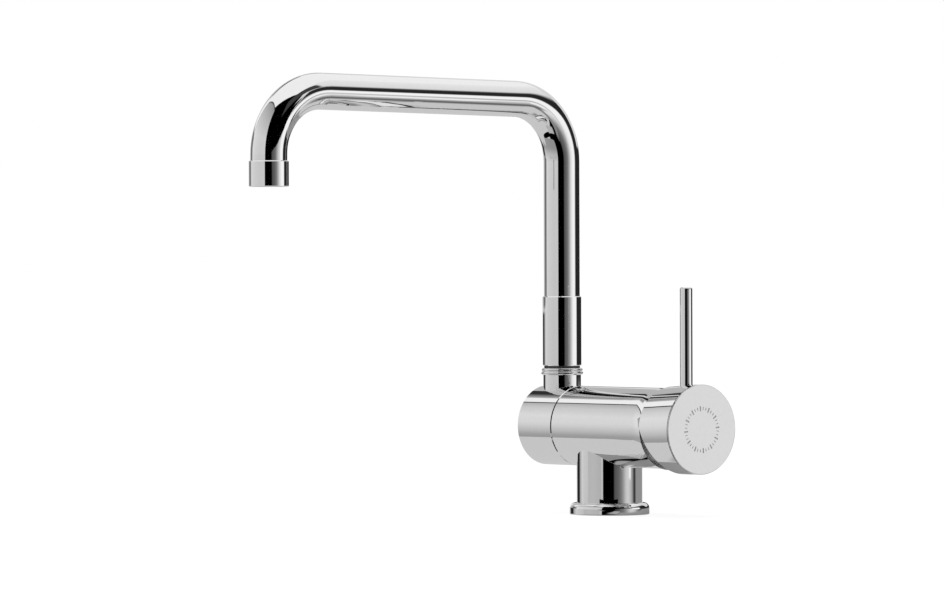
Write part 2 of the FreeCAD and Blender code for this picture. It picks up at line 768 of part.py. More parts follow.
def make_outlet():
    body = outlet_body("outlet_ferrule")
    spigot = "tube_width / 2 - tube_wall - fit_gap"
    turn(body, "Ferrule", [
        ("ferrule_bore / 2", "ferrule_end"),
        ("thread_radius", "ferrule_end"),
        ("thread_radius", "tube_end - face_gap"),
        (spigot, "tube_end - face_gap"),
        (spigot, "tube_end + ferrule_spigot"),
        ("ferrule_bore / 2", "tube_end + ferrule_spigot"),
    ], upright=True)

    body = outlet_body("aerator_shell")
    turn(body, "Shell", [
        ("shell_mouth / 2", "0"),
        ("shell_width / 2 - edge_chamfer", "0"),
        ("shell_width / 2", "edge_chamfer"),
        ("shell_width / 2", "shell_length - edge_chamfer"),
        ("shell_width / 2 - edge_chamfer", "shell_length"),
        ("tube_width / 2", "shell_length"),
        ("tube_width / 2", "shell_lip"),
        ("shell_mouth / 2", "shell_lip"),
    ], upright=True)

    body = outlet_body("aerator_washer")
    turn(body, "Washer", [
        ("ferrule_bore / 2", "insert_top"),
        ("thread_radius", "insert_top"),
        ("thread_radius", "ferrule_end"),
        ("ferrule_bore / 2", "ferrule_end"),
    ], upright=True)

    # Cup with a perforated floor
    body = outlet_body("aerator_insert")
    inner_wall = "thread_radius - insert_wall"
    turn(body, "Cup", [
        ("0", "shell_lip"),
        ("thread_radius", "shell_lip"),
        ("thread_radius", "insert_top"),
        (inner_wall, "insert_top"),
        (inner_wall, "shell_lip + insert_floor"),
        ("0", "shell_lip + insert_floor"),
    ], upright=True)
    round_form(body, "MiddleJet", "XY_Plane", "jet_width", cut=True)
    inner = round_form(body, "InnerJet", "XY_Plane", "jet_width", across="inner_jets", cut=True)
    turned_pattern(body, "InnerJets", inner, "Z_Axis", 6)
    outer = round_form(body, "OuterJet", "XY_Plane", "jet_width", across="outer_jets", cut=True)
    turned_pattern(body, "OuterJets", outer, "Z_Axis", 12)

    body = outlet_body("aerator_screen")
    gauze = "thread_radius - insert_wall - fit_gap"
    floor = "shell_lip + insert_floor"
    turn(body, "Screen", [
        ("0", floor),
        (gauze, floor),
        (gauze, f"{floor} + screen_thickness"),
        ("0", f"{floor} + screen_thickness"),
    ], upright=True)


# The three ports of the cartridge, as places across and up the barrel's section.
ports = (
    ("Hot", "inlet_spacing / 2", "0"),
    ("Cold", "-inlet_spacing / 2", "0"),
    ("Mixed", "0", "outlet_rise"),
)


# A round plate across the barrel.
def plate(label, low, high, width):
    body = new_body(label)
    rim = f"({width}) / 2"
    turn(body, "Plate", [(low, "0"), (high, "0"), (high, rim), (low, rim)])
    return body


def make_port_plate():
    body = plate("cartridge_base", "floor_x", "port_face", "cartridge_width")
    for name, across, up in ports:
        round_form(body, name + "Port", "YZ_Plane", "port_bore", across=across, up=up, cut=True)
        round_form(body, name + "Seat", "YZ_Plane", "port_bore + 2 * seal_wire + 2 * fit_gap",
                   across=across, up=up, lift="floor_x - face_gap", length="seal_wire + face_gap", cut=True)
    wire_rings("cartridge_seals", [
        ("floor_x + seal_wire / 2", across, f"barrel_height + {up}", "(port_bore + seal_wire) / 2")
        for name, across, up in ports
    ], "seal_wire - fit_gap", along_barrel=True)


def make_ceramic_discs():
    body = plate("fixed_ceramic_disc", "port_face", "fixed_face", "2 * (cavity_radius - fit_gap)")
    for name, across, up in ports:
        round_form(body, name + "Port", "YZ_Plane", "port_bore", across=across, up=up, cut=True)
    body = plate("moving_ceramic_disc", "moving_base", "moving_face", "moving_disc_width")
    round_form(body, "MixingRecess", "YZ_Plane", "mixing_width", lift="moving_base - face_gap",
               length="mixing_depth + face_gap", cut=True)
    body = plate("disc_carrier", "moving_face", "carrier_face", "moving_disc_width - 2 * rotor_slack")
    round_form(body, "BallSocket", "YZ_Plane", "ball_width + 2 * ball_slack", cut=True)


def make_cartridge_housing():
    body = new_body("cartridge_housing")
    turn(body, "Housing", [
        ("port_face", "cavity_radius"),
        ("port_face", "cartridge_width / 2"),
        ("housing_step", "cartridge_width / 2"),
        ("housing_step", "cartridge_width / 2 - housing_collar"),
        ("housing_top", "cartridge_width / 2 - housing_collar"),
        ("housing_top", "rotor_neck / 2 + rotor_slack / 2"),
        ("roof_inside", "rotor_neck / 2 + rotor_slack / 2"),
        ("roof_inside", "cavity_radius"),
    ])


# Rotor: a flange under the housing's roof and a neck through it, slotted for the stem and
# cross-drilled for the pin that the stem tilts on.
def make_rotor():
    body = new_body("cartridge_rotor")
    turn(body, "Rotor", [
        ("rotor_base", "0"),
        ("rotor_base", "cavity_radius - rotor_slack"),
        ("rotor_shoulder", "cavity_radius - rotor_slack"),
        ("rotor_shoulder", "rotor_neck / 2"),
        ("rotor_top", "rotor_neck / 2"),
        ("rotor_top", "0"),
    ])
    slot = new_sketch(body, "SlotOutline", "YZ_Plane")
    draw_rectangle(slot, "stem_width + rotor_slack", "slot_length")
    extrude(body, "StemSlot", slot, cut=True)
    round_form(body, "PinBore", "XZ_Plane", "pivot_pin + 2 * fit_gap", across="pivot_x", cut=True, both=True)

    body = new_body("rotor_pin", x="pivot_x")
    round_form(body, "Pin", "XZ_Plane", "pivot_pin", length="rotor_neck - 2 * pin_inset", both=True)


# Stem: a square bar on the cross pin, with a ball at its foot in the carrier.
def make_lever_stem():
    body = new_body("lever_stem", x="pivot_x")
    bar = new_sketch(body, "BarOutline", "YZ_Plane", lift="-stem_root")
    draw_rectangle(bar, "stem_width", "stem_depth")
    extrude(body, "Bar", bar, length="stem_root + stem_reach")
    ball, shank = "(ball_width / 2)", "(shank_width / 2)"
    turn(body, "BallAndShank", [
        (f"-ball_drop - {ball}", "0", ball, "right"),
        (f"-ball_drop + sqrt({ball}^2 - {shank}^2)", shank),
        ("-stem_root + face_gap", shank),
        ("-stem_root + face_gap", "0"),
    ])
    round_form(body, "PinBore", "XZ_Plane", "pivot_pin + 2 * fit_gap", cut=True, both=True)


# Brass ring that clamps the housing. Its skirt is threaded in the casting and its nose
# carries the dome.
def make_cartridge_nut():
    body = new_body("cartridge_nut")
    base = "nut_base + nut_relief"
    turn(body, "Nut", [
        (base, "cartridge_width / 2 + fit_gap"),
        (base, "nut_thread / 2 - fit_gap"),
        ("body_reach", "nut_thread / 2 - fit_gap"),
        ("body_reach", "nut_nose_width / 2"),
        ("nut_top", "nut_nose_width / 2"),
        ("nut_top", "cartridge_width / 2 - housing_collar + fit_gap"),
        ("housing_step", "cartridge_width / 2 - housing_collar + fit_gap"),
        ("housing_step", "cartridge_width / 2 + fit_gap"),
    ])


# Cover over the nut: a zone of a ball about the stem's pivot, so that the cap swings round
# it with an even gap.
def make_dome_ring():
    body = new_body("dome_ring")
    radius = "dome_width / 2"
    thread = "nut_nose_width / 2 + fit_gap"
    turn(body, "Dome", [
        ("body_reach", thread),
        ("nut_top + fit_gap", thread),
        ("nut_top + fit_gap", f"{thread} - dome_plate"),
        ("dome_top - dome_plate", f"{thread} - dome_plate"),
        ("dome_top - dome_plate", "dome_hole / 2"),
        ("dome_top", "dome_hole / 2"),
        ("dome_top", f"sqrt(({radius})^2 - (dome_top - pivot_x)^2)", radius, "left"),
        ("body_reach", f"sqrt(({radius})^2 - (body_reach - pivot_x)^2)"),
    ])


# Cap: a cup that widens from its rear rim to the end plate and hangs a little low at the
# rear. The lower half of the rim is cut back so that the cap can tilt. Inside, a boss takes
# the stem and a pillar takes the lever.
def make_handle_cap():
    body = new_body("handle_cap")
    for name, kind, shrink, ends in (
        ("Cup", "PartDesign::AdditiveLoft", "0", ("cap_rear", "cap_front")),
        ("Hollow", "PartDesign::SubtractiveLoft", "2 * cap_wall", ("cap_rear - seam_gap", "cap_inside")),
    ):
        rear = new_sketch(body, name + "Rear", "YZ_Plane", lift=ends[0])
        draw_circle(rear, f"cap_rear_width - {shrink}", up="-cap_rear_drop")
        front = new_sketch(body, name + "Front", "YZ_Plane", lift=ends[1])
        draw_circle(front, f"cap_width - {shrink}")
        loft = body.newObject(kind, name)
        loft.Profile = rear
        loft.Sections = [front]
    round_form(body, "Boss", "YZ_Plane", "boss_width", lift="boss_rear", length="cap_inside - boss_rear + face_gap")
    round_form(body, "Pillar", "XY_Plane", "pillar_width", across="lever_offset",
               length="cap_rear_width / 2 - cap_rear_drop - edge_chamfer")
    socket = new_sketch(body, "SocketOutline", "YZ_Plane", lift="stem_tip + face_gap")
    draw_rectangle(socket, "stem_width + 2 * fit_gap", "stem_depth + 2 * fit_gap")
    extrude(body, "StemSocket", socket, cut=True, backward=True)
    round_form(body, "LeverThread", "XY_Plane", "lever_thread + 2 * fit_gap", across="lever_offset", cut=True)
    round_form(body, "LeverSeat", "XY_Plane", "lever_width + 2 * fit_gap", across="lever_offset",
               lift="lever_seat", cut=True)
    round_form(body, "PlateSeat", "YZ_Plane", "plate_step_width + 2 * fit_gap", lift="cap_front - plate_step",
               cut=True)
    cut = new_sketch(body, "CutOutline", "XZ_Plane")
    draw_run(cut, [
        ("cap_rear - seam_gap", "cap_cut_height"),
        ("cap_rear", "cap_cut_height"),
        ("cap_rear + cut_depth", "-cap_width"),
        ("cap_rear - seam_gap", "-cap_width"),
    ])
    extrude(body, "RimCut", cut, cut=True, both=True)


def make_handle_disc():
    body = new_body("handle_disc")
    face = "cap_front + plate_thickness"
    turn(body, "Plate", [
        ("cap_front - plate_step + face_gap", "0"),
        ("cap_front - plate_step + face_gap", "plate_step_width / 2"),
        ("cap_front", "plate_step_width / 2"),
        ("cap_front", "plate_width / 2"),
        (f"{face} - plate_chamfer", "plate_width / 2"),
        (face, "plate_width / 2 - plate_chamfer"),
        (face, "0"),
    ])


def make_lever_pin():
    body = new_body("lever_pin", x="lever_offset")
    rim = "lever_width / 2"
    turn(body, "Pin", [
        ("0", "lever_seat - lever_thread_length"),
        ("lever_thread / 2", "lever_seat - lever_thread_length"),
        ("lever_thread / 2", "lever_seat"),
        (rim, "lever_seat"),
        (rim, "lever_height - lever_round", "lever_round", "left"),
        (f"{rim} - lever_round", "lever_height"),
        ("0", "lever_height"),
    ], upright=True)

    # Set screw under the lever, with a hexagon socket
    body = new_body("grub_screw", x="lever_offset")
    round_form(body, "Screw", "XY_Plane", "lever_thread", lift="stem_depth / 2", length="grub_length")
    key = new_sketch(body, "KeyOutline", "XY_Plane", lift="stem_depth / 2 + grub_length - grub_key")
    corners = [(f"grub_key / sqrt(3) * cos({60 * step})", f"grub_key / sqrt(3) * sin({60 * step})")
               for step in range(6)]
    draw_run(key, corners)
    extrude(body, "Key", key, cut=True)


make_base_flange()
make_base_gasket()
make_body_casting()
make_pivot_spindle()
make_spindle_seals()
make_spindle_circlip()
make_spout_hub()
make_hub_end_cap()
make_neck_nipple()
make_nipple_seals()
make_swivel_ring()
make_glide_washer()
make_swivel_sleeve()
make_spout_tube()
make_outlet()
make_port_plate()
make_ceramic_discs()
make_cartridge_housing()
make_rotor()
make_lever_stem()
make_cartridge_nut()
make_dome_ring()
make_handle_cap()
make_handle_disc()
make_lever_pin()
doc.recompute()

faults = [item.Name for item in doc.Objects if "Invalid" in item.State or "Error" in item.State]
faults += [node.Label for node in nodes if node.Shape.isNull() or not node.Shape.isValid()]
if faults:
    raise RuntimeError("failed objects: " + ", ".join(faults))

os.makedirs("parts", exist_ok=True)
for node in nodes:
    node.Shape.exportStep(f"parts/{node.Label}.step")
    print(f"{node.Label}: {len(node.Shape.Solids)} solid, {node.Shape.Volume:.1f} mm3")
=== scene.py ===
import math

import bmesh
import bpy
from mathutils import Matrix, Vector


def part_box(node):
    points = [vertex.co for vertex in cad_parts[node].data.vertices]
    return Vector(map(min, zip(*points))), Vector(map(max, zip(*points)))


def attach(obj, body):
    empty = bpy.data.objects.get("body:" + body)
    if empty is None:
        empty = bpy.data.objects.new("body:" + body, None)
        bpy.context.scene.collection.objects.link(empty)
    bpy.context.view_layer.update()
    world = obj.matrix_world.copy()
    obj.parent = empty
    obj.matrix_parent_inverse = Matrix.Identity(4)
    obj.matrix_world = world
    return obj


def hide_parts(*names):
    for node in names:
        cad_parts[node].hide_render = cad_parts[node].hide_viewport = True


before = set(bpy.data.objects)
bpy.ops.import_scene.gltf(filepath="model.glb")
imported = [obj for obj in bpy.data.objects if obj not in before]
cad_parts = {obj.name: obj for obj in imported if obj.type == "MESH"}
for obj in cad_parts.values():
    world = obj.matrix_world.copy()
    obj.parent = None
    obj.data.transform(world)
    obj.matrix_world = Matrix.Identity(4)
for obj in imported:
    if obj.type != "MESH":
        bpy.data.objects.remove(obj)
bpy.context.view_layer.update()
bpy.ops.object.select_all(action="DESELECT")
print("frame loaded:", len(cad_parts), "nodes")


# Camera

cameraValues = {
    "lens": 243.82,                      # mm
    "sensor": 36,
    "clip": (0.1, 50),
    "place": (2.95041, -2.54646, 0.172),
    "azimuth": 50.43,                    # degrees round the tap, 0 looks along +Y
    "pitch": 0.56,
    "roll": -0.18,
}


def makeCamera(values):
    data = bpy.data.cameras.new("camera")
    data.lens = values["lens"]
    data.sensor_width = values["sensor"]
    data.clip_start, data.clip_end = values["clip"]
    camera = bpy.data.objects.new("camera", data)
    bpy.context.scene.collection.objects.link(camera)
    turn = (
        Matrix.Rotation(math.radians(values["azimuth"]), 4, "Z")
        @ Matrix.Rotation(math.radians(90 - values["pitch"]), 4, "X")
        @ Matrix.Rotation(math.radians(values["roll"]), 4, "Z")
    )
    camera.matrix_world = Matrix.Translation(values["place"]) @ turn
    bpy.context.scene.camera = camera


makeCamera(cameraValues)
print("camera placed")


# Shader writing: a Wire is a node's output, so that sums of sockets read as sums

class Wire:
    def __init__(self, finish, socket):
        self.finish = finish
        self.socket = socket

    def maths(self, operation, *values):
        return self.finish.add("ShaderNodeMath", {"operation": operation}, values)

    def __add__(self, other):
        return self.maths("ADD", self, other)

    def __radd__(self, other):
        return self.maths("ADD", other, self)

    def __sub__(self, other):
        return self.maths("SUBTRACT", self, other)

    def __rsub__(self, other):
        return self.maths("SUBTRACT", other, self)

    def __mul__(self, other):
        return self.maths("MULTIPLY", self, other)

    def __rmul__(self, other):
        return self.maths("MULTIPLY", other, self)

    def __truediv__(self, other):
        return self.maths("DIVIDE", self, other)

    def __pow__(self, other):
        return self.maths("POWER", self, other)

    def __gt__(self, other):
        return self.maths("GREATER_THAN", self, other)

    def __lt__(self, other):
        return self.maths("LESS_THAN", self, other)

    def sine(self):
        return self.maths("SINE", self)

    def size(self):
        return self.maths("ABSOLUTE", self)

    def root(self):
        return self.maths("SQRT", self)

    def larger(self, other):
        return self.maths("MAXIMUM", self, other)


class Finish:
    def __init__(self, name):
        self.material = bpy.data.materials.new(name)
        self.material.use_nodes = True
        self.tree = self.material.node_tree
        self.tree.nodes.clear()
        self.output = self.tree.nodes.new("ShaderNodeOutputMaterial")

    # Adds a node: its settings first, then a value or a Wire for each input
    def add(self, kind, settings=None, values=(), output=0):
        node = self.tree.nodes.new(kind)
        for name, setting in (settings or {}).items():
            if name == "stops":
                self.setStops(node.color_ramp, setting)
            else:
                setattr(node, name, setting)
        pairs = values.items() if isinstance(values, dict) else enumerate(values)
        for key, value in pairs:
            if isinstance(value, Wire):
                self.tree.links.new(value.socket, node.inputs[key])
            else:
                node.inputs[key].default_value = value
        return Wire(self, node.outputs[output])

    def setStops(self, ramp, stops):
        while len(ramp.elements) < len(stops):
            ramp.elements.new(1)
        for element, (place, value) in zip(ramp.elements, stops):
            element.position = place
            element.color = (value, value, value, 1)

    def place(self):
        return self.add("ShaderNodeTexCoord", output="Object")

    def parts(self, vector):
        node = self.tree.nodes.new("ShaderNodeSeparateXYZ")
        self.tree.links.new(vector.socket, node.inputs[0])
        return [Wire(self, socket) for socket in node.outputs]

    # Place along an axis, distance from it and angle round it
    def turned(self, axis, centre):
        places = self.parts(self.place())
        along = places.pop("xyz".index(axis))
        first, second = (place - start for place, start in zip(places, centre))
        return along, (first ** 2 + second ** 2).root(), self.angle(second, first)

    def angle(self, second, first):
        return self.add("ShaderNodeMath", {"operation": "ARCTAN2"}, [second, first])

    def join(self, x, y, z):
        return self.add("ShaderNodeCombineXYZ", {}, [x, y, z])

    def noise(self, vector, scale, detail=2.0, roughness=0.5):
        values = {"Vector": vector, "Scale": scale, "Detail": detail, "Roughness": roughness}
        return self.add("ShaderNodeTexNoise", {}, values)

    # Noise in rings round an axis
    def rings(self, along, reach, turn, scale, detail):
        return self.noise(self.join(along * scale, reach * scale, turn), 1.0, detail)

    # Runs smoothly from start to end while the value goes from low to high
    def spread(self, value, low, high, start=0.0, end=1.0):
        settings = {"interpolation_type": "SMOOTHSTEP"}
        return self.add("ShaderNodeMapRange", settings, {0: value, 1: low, 2: high, 3: start, 4: end})

    def mixColours(self, factor, first, second):
        values = {0: factor, 6: first, 7: second}
        return self.add("ShaderNodeMix", {"data_type": "RGBA"}, values, output=2)

    def mixVectors(self, factor, first, second):
        values = {0: factor, 4: first, 5: second}
        return self.add("ShaderNodeMix", {"data_type": "VECTOR"}, values, output=1)

    def colour(self, factor, first, second):
        return self.mixColours(factor, (*first, 1), (*second, 1))

    def surface(self, shader):
        self.tree.links.new(shader.socket, self.output.inputs["Surface"])

    def bump(self, height, distance, under=None):
        values = {"Height": height, "Distance": distance}
        if under:
            values["Normal"] = under
        return self.add("ShaderNodeBump", {}, values)

    # The mesh's own normal, and an exact one where the mask is 1
    def exactNormal(self, direction, mask):
        unit = self.add("ShaderNodeVectorMath", {"operation": "NORMALIZE"}, [direction])
        settings = {"vector_type": "NORMAL", "convert_from": "OBJECT", "convert_to": "WORLD"}
        exact = self.add("ShaderNodeVectorTransform", settings, [unit])
        mesh = self.add("ShaderNodeNewGeometry", output="Normal")
        return self.mixVectors(mask, mesh, exact)

    def shade(self, values):
        self.surface(self.add("ShaderNodeBsdfPrincipled", {}, values))


# Studio: a white room with pale panels and black boards, which only the metal sees. A card hangs
# upright at a bearing round the tap, in degrees, 0 towards -Y and 90 towards +X. Its sides and its
# low and high edges are slopes from the middle of the tap. Its light runs through stops from left
# to right, times its rise from low to high, and it fades over its soft share at the left, right,
# low and high edge.

studioValues = {
    "middle": Vector((-0.02, -0.08, 0.12)),
    "sky": 0.94,
    "ground": 0.62,
    "horizon": 0.01,             # half the height over which the ground turns into sky
    "cards": {
        "lowSky": {"bearing": 150, "sides": (-0.75, 0.9), "edges": (0.3, 1.3), "away": 2.8,
                   "light": ((0, 0.76), (1, 0.78)), "rise": ((0, 0.95), (1, 1.15)),
                   "soft": (0.02, 0.02, 0.1, 0.1)},
        "blackWall": {"bearing": 45, "sides": (-0.9, 3.7), "edges": (-1.6, 1.79), "away": 3.1,
                      "light": ((0, 0.0), (1, 0.0)), "soft": (0.01, 0.01, 0.03, 0.03)},
        "frontPanel": {"bearing": -15, "sides": (-1.78, 0.93), "edges": (-1.1, 1.8), "away": 2.2,
                       "light": ((0, 0.01), (0.05, 0.01), (0.06, 0.85), (0.24, 0.85), (0.37, 0.76),
                                 (0.73, 0.67), (1, 0.68)),
                       "rise": ((0, 0.45), (0.2, 0.45), (0.24, 0.5), (0.3, 0.7), (0.38, 0.91),
                                (0.42, 0.98), (0.52, 1.0), (0.62, 0.84), (0.8, 0.62), (0.9, 0.52),
                                (0.94, 0.5), (0.96, 0.15), (1, 0.15)),
                       "soft": (0.01, 0.01, 0.01, 0.01)},
        "lowBlack": {"bearing": 0, "sides": (-1.6, 1.3), "edges": (-1.9, -1.2), "away": 2.3,
                     "light": ((0, 0.0), (1, 0.0)), "soft": (0.02, 0.02, 0.05, 0.02)},
        "leftTable": {"bearing": -60, "sides": (-0.9, 0.1), "edges": (-2.5, -0.43), "away": 2.1,
                      "light": ((0, 0.62), (1, 0.62)), "soft": (0.01, 0.01, 0.01, 0.002)},
        "topGrey": {"bearing": -112, "sides": (-0.34, 0.3), "edges": (0.2, 0.72), "away": 1.9,
                    "light": ((0, 0.49), (1, 0.49)), "rise": ((0, 1.3), (0.25, 1), (1, 1)),
                    "soft": (0.06, 0.02, 0.02, 0.02)},
        "topLine": {"bearing": -100, "sides": (-0.36, 0.22), "edges": (0.645, 0.9), "away": 1.85,
                    "light": ((0, 0.03), (0.55, 0.03), (0.72, 0.2), (0.85, 0.33), (1, 0.6)),
                    "soft": (0.1, 0.05, 0.12, 0.1)},
        "rightHigh": {"bearing": 105, "sides": (-0.4, 0.42), "edges": (0.5, 1.0), "away": 2.1,
                      "light": ((0, 0.05), (1, 0.05)), "soft": (0.1, 0.1, 0.1, 0.1)},
        "rightDark": {"bearing": 100, "sides": (-0.84, 0.6), "edges": (-0.86, -0.54), "away": 2.2,
                      "light": ((0, 0.05), (0.2, 0.25), (1, 0.28)), "soft": (0.1, 0.1, 0.1, 0.05)},
        "rightLow": {"bearing": 138, "sides": (-0.4, 0.4), "edges": (-0.78, -0.28), "away": 1.95,
                     "light": ((0, 0.13), (1, 0.13)), "soft": (0.2, 0.2, 0.45, 0.45)},
        "rightGrey": {"bearing": 100, "sides": (-0.7, 0.75), "edges": (-0.6, 0.13), "away": 2.1,
                      "light": ((0, 0.03), (0.1, 0.09), (0.25, 0.12), (0.4, 0.2), (0.55, 0.48),
                                (0.68, 0.8), (1, 0.8)),
                      "soft": (0.05, 0.05, 0.02, 0.02)},
        "glow": {"bearing": 131, "sides": (-0.28, 0.38), "edges": (-0.5, 0.28), "away": 1.6,
                 "light": ((0, 1.0), (1, 1.0)),
                 "rise": ((0, 0.15), (0.1, 0.33), (0.22, 0.52), (0.333, 0.72), (0.43, 0.93), (0.5, 1)),
                 "soft": (0.3, 0.2, 0.1, 0.06)},
        "platePanel": {"bearing": 129.6, "sides": (-0.08, 0.07), "edges": (-0.19, -0.065), "away": 0.63,
                       "light": ((0, 0.9), (1, 0.92)), "soft": (0.02, 0.02, 0.02, 0.02)},
        "backDark": {"bearing": 160, "sides": (-0.9, 0.7), "edges": (-0.06, 0.68), "away": 1.9,
                     "light": ((0, 0.02), (1, 0.02)), "soft": (0.02, 0.02, 0.02, 0.25)},
        "backGrey": {"bearing": 178, "sides": (-0.46, 0.67), "edges": (-0.3, -0.04), "away": 1.85,
                     "light": ((0, 0.3), (1, 0.3)), "soft": (0.05, 0.05, 0.05, 0.05)},
        "lowGrey": {"bearing": -8, "sides": (-0.58, 0.56), "edges": (-0.14, -0.046), "away": 2.1,
                    "light": ((0, 0.5), (0.5, 0.52), (1, 0.47)), "soft": (0.02, 0.02, 0.05, 0.05)},
        "columnGlow": {"bearing": 125, "sides": (-0.563, 0.62), "edges": (-0.15, -0.075), "away": 1.5,
                       "light": ((0.057, 0.27), (0.162, 0.42), (0.259, 0.57), (0.349, 0.66), (0.435, 0.645),
                                 (0.52, 0.56), (0.606, 0.44), (0.694, 0.27), (0.785, 0.05), (0.884, 0.04),
                                 (0.956, 0.2), (1, 0.25)), "soft": (0.02, 0.02, 0.05, 0.05)},
        "backVeil": {"bearing": -158, "sides": (-0.35, 0.6), "edges": (0.13, 0.8), "away": 1.95,
                     "light": ((0, 0.73), (1, 0.73)), "soft": (0.02, 0.02, 0.02, 0.2)},
        "behind": {"bearing": -145, "sides": (-0.42, 0.45), "edges": (-0.12, 0.13), "away": 1.8,
                   "light": ((0, 0.02), (0.8, 0.03), (1, 0.2)), "soft": (0.05, 0.2, 0.05, 0.05)},
        "behindLow": {"bearing": -150, "sides": (-0.36, 0.5), "edges": (-0.13, -0.06), "away": 1.7,
                      "light": ((0, 0.3), (0.5, 0.35), (1, 0.5)), "soft": (0.1, 0.1, 0.1, 0.1)},
        "leftUpper": {"bearing": -88, "sides": (-0.42, 0.46), "edges": (-0.01, 0.3), "away": 1.9,
                      "light": ((0, 0.4), (0.25, 0.5), (0.35, 0.5), (0.45, 0.2), (0.55, 0.13), (0.72, 0.14),
                                (0.82, 0.3), (0.95, 0.42), (1, 0.8)), "soft": (0.02, 0.02, 0.01, 0.1)},
        "leftLower": {"bearing": -88, "sides": (-0.42, 0.42), "edges": (-0.25, -0.01), "away": 1.9,
                      "light": ((0, 0.2), (0.15, 0.1), (0.3, 0.01), (0.5, 0.01), (0.6, 0.05),
                                (0.7, 0.4), (1, 0.65)),
                      "soft": (0.02, 0.02, 0.1, 0.01)},
    },
}


def hideFrom(thing, *rays):
    for ray in rays:
        setattr(thing, "visible_" + ray, False)


def cardLight(name, values):
    finish = Finish(name)
    across, up, _ = finish.parts(finish.add("ShaderNodeUVMap"))
    strength = finish.add("ShaderNodeValToRGB", {"stops": values["light"]}, [across])
    if "rise" in values:
        strength = strength * finish.add("ShaderNodeValToRGB", {"stops": values["rise"]}, [up])
    mask = 1
    for place, width in zip((across, 1 - across, up, 1 - up), values["soft"]):
        mask = mask * finish.spread(place, 0.0, width)
    lit = finish.add("ShaderNodeEmission", {}, {"Color": (1, 1, 1, 1), "Strength": strength})
    clear = finish.add("ShaderNodeBsdfTransparent")
    finish.surface(finish.add("ShaderNodeMixShader", {}, [mask, clear, lit]))
    return finish.material


# Adds a board that only the metal sees. The place of each corner comes from the given function.
def makeBoard(name, values, corner):
    bpy.ops.mesh.primitive_plane_add(size=1)
    board = bpy.context.object
    board.name = name
    for vertex in board.data.vertices:
        vertex.co = corner(vertex.co.x > 0, vertex.co.y > 0)
    board.data.materials.append(cardLight(name, values))
    hideFrom(board, "camera", "diffuse", "shadow", "volume_scatter")


def makeCard(name, values):
    middle = studioValues["middle"]
    angle = math.radians(values["bearing"])
    ahead = Vector((math.sin(angle), -math.cos(angle), 0))
    side = Vector((math.cos(angle), math.sin(angle), 0))      # bearings grow towards this side

    def corner(right, high):
        across, rise = values["sides"][right], values["edges"][high]
        return middle + values["away"] * (ahead + side * across + Vector((0, 0, 1)) * rise)

    makeBoard(name, values, corner)


def makeWorld(values):
    world = bpy.data.worlds.new("studio")
    bpy.context.scene.world = world
    world.use_nodes = True
    nodes, links = world.node_tree.nodes, world.node_tree.links
    background = nodes["Background"]
    where = nodes.new("ShaderNodeTexCoord")
    split = nodes.new("ShaderNodeSeparateXYZ")
    links.new(where.outputs["Generated"], split.inputs[0])
    ramp = nodes.new("ShaderNodeMapRange")
    settings = (-values["horizon"], values["horizon"], values["ground"], values["sky"])
    for place, setting in enumerate(settings, 1):
        ramp.inputs[place].default_value = setting
    links.new(split.outputs[2], ramp.inputs[0])
    ray = nodes.new("ShaderNodeLightPath")
    pick = nodes.new("ShaderNodeMath")
    pick.operation = "MAXIMUM"
    links.new(ray.outputs["Is Camera Ray"], pick.inputs[0])
    links.new(ramp.outputs[0], pick.inputs[1])
    links.new(pick.outputs[0], background.inputs["Strength"])
    background.inputs["Color"].default_value = (1, 1, 1, 1)


floorValues = {
    "size": 40,
    "grain": 900,
    "dark": (0.9, 0.9, 0.9),
    "light": (0.94, 0.94, 0.94),
    "glow": 1.06,                # brightness added where the camera looks, so that it is white
    "glowShare": 0.8,            # the rest is the paint, which takes the shadow
}


def makeFloor(values):
    bpy.ops.mesh.primitive_plane_add(size=values["size"])
    floor = bpy.context.object
    floor.name = "floor"
    finish = Finish("floor")
    grain = finish.noise(finish.place(), values["grain"])
    colour = finish.colour(grain, values["dark"], values["light"])
    paint = finish.add("ShaderNodeBsdfDiffuse", {}, {"Color": colour})
    white = finish.add("ShaderNodeEmission", {}, {"Color": (1, 1, 1, 1), "Strength": values["glow"]})
    ray = finish.add("ShaderNodeLightPath", output="Is Camera Ray")
    finish.surface(finish.add("ShaderNodeMixShader", {}, [ray * values["glowShare"], paint, white]))
    floor.data.materials.append(finish.material)
    hideFrom(floor, "glossy")


# Patches of table beside the foot, which the metal shows and the camera does not see. The one with
# a height stands up as a low black edge, so that the foot does not show the table in front.
tableHeight = 0.0002
tablePatches = {
    # footShade is a painted shadow of the tap on the table beside the foot
    "footShade": {"x": (-0.02, 0.075), "y": (-0.019, 0.09), "light": ((0, 0.25), (0.5, 0.27), (1, 0.35)),
                  "soft": (0.15, 0.3, 0.03, 0.4)},
    "footTable": {"x": (0.034, 0.08), "y": (-0.045, -0.019), "light": ((0, 0.4), (1, 0.4)),
                  "soft": (0.2, 0.2, 0.3, 0.03)},
    "frontTable": {"x": (0.0, 0.18), "y": (-0.163, -0.068), "light": ((0, 0.5), (1, 0.46)),
                   "soft": (0.15, 0.2, 0.1, 0.2)},
    "frontEdge": {"x": (0.03, 0.105), "y": (-0.1, -0.025), "height": 0.0065,
                  "light": ((0, 0.0), (1, 0.0)), "soft": (0.01, 0.01, 0.01, 0.01)},
}


def makePatch(name, values):
    def corner(right, far):
        if "height" in values:
            return values["x"][right], values["y"][right], values["height"] * far
        return values["x"][right], values["y"][far], tableHeight

    makeBoard(name, values, corner)


lampValues = {"place": (0.3, -0.6, 1.8), "aim": (0, 0, 0.1), "size": (1.6, 1.6), "power": 12}


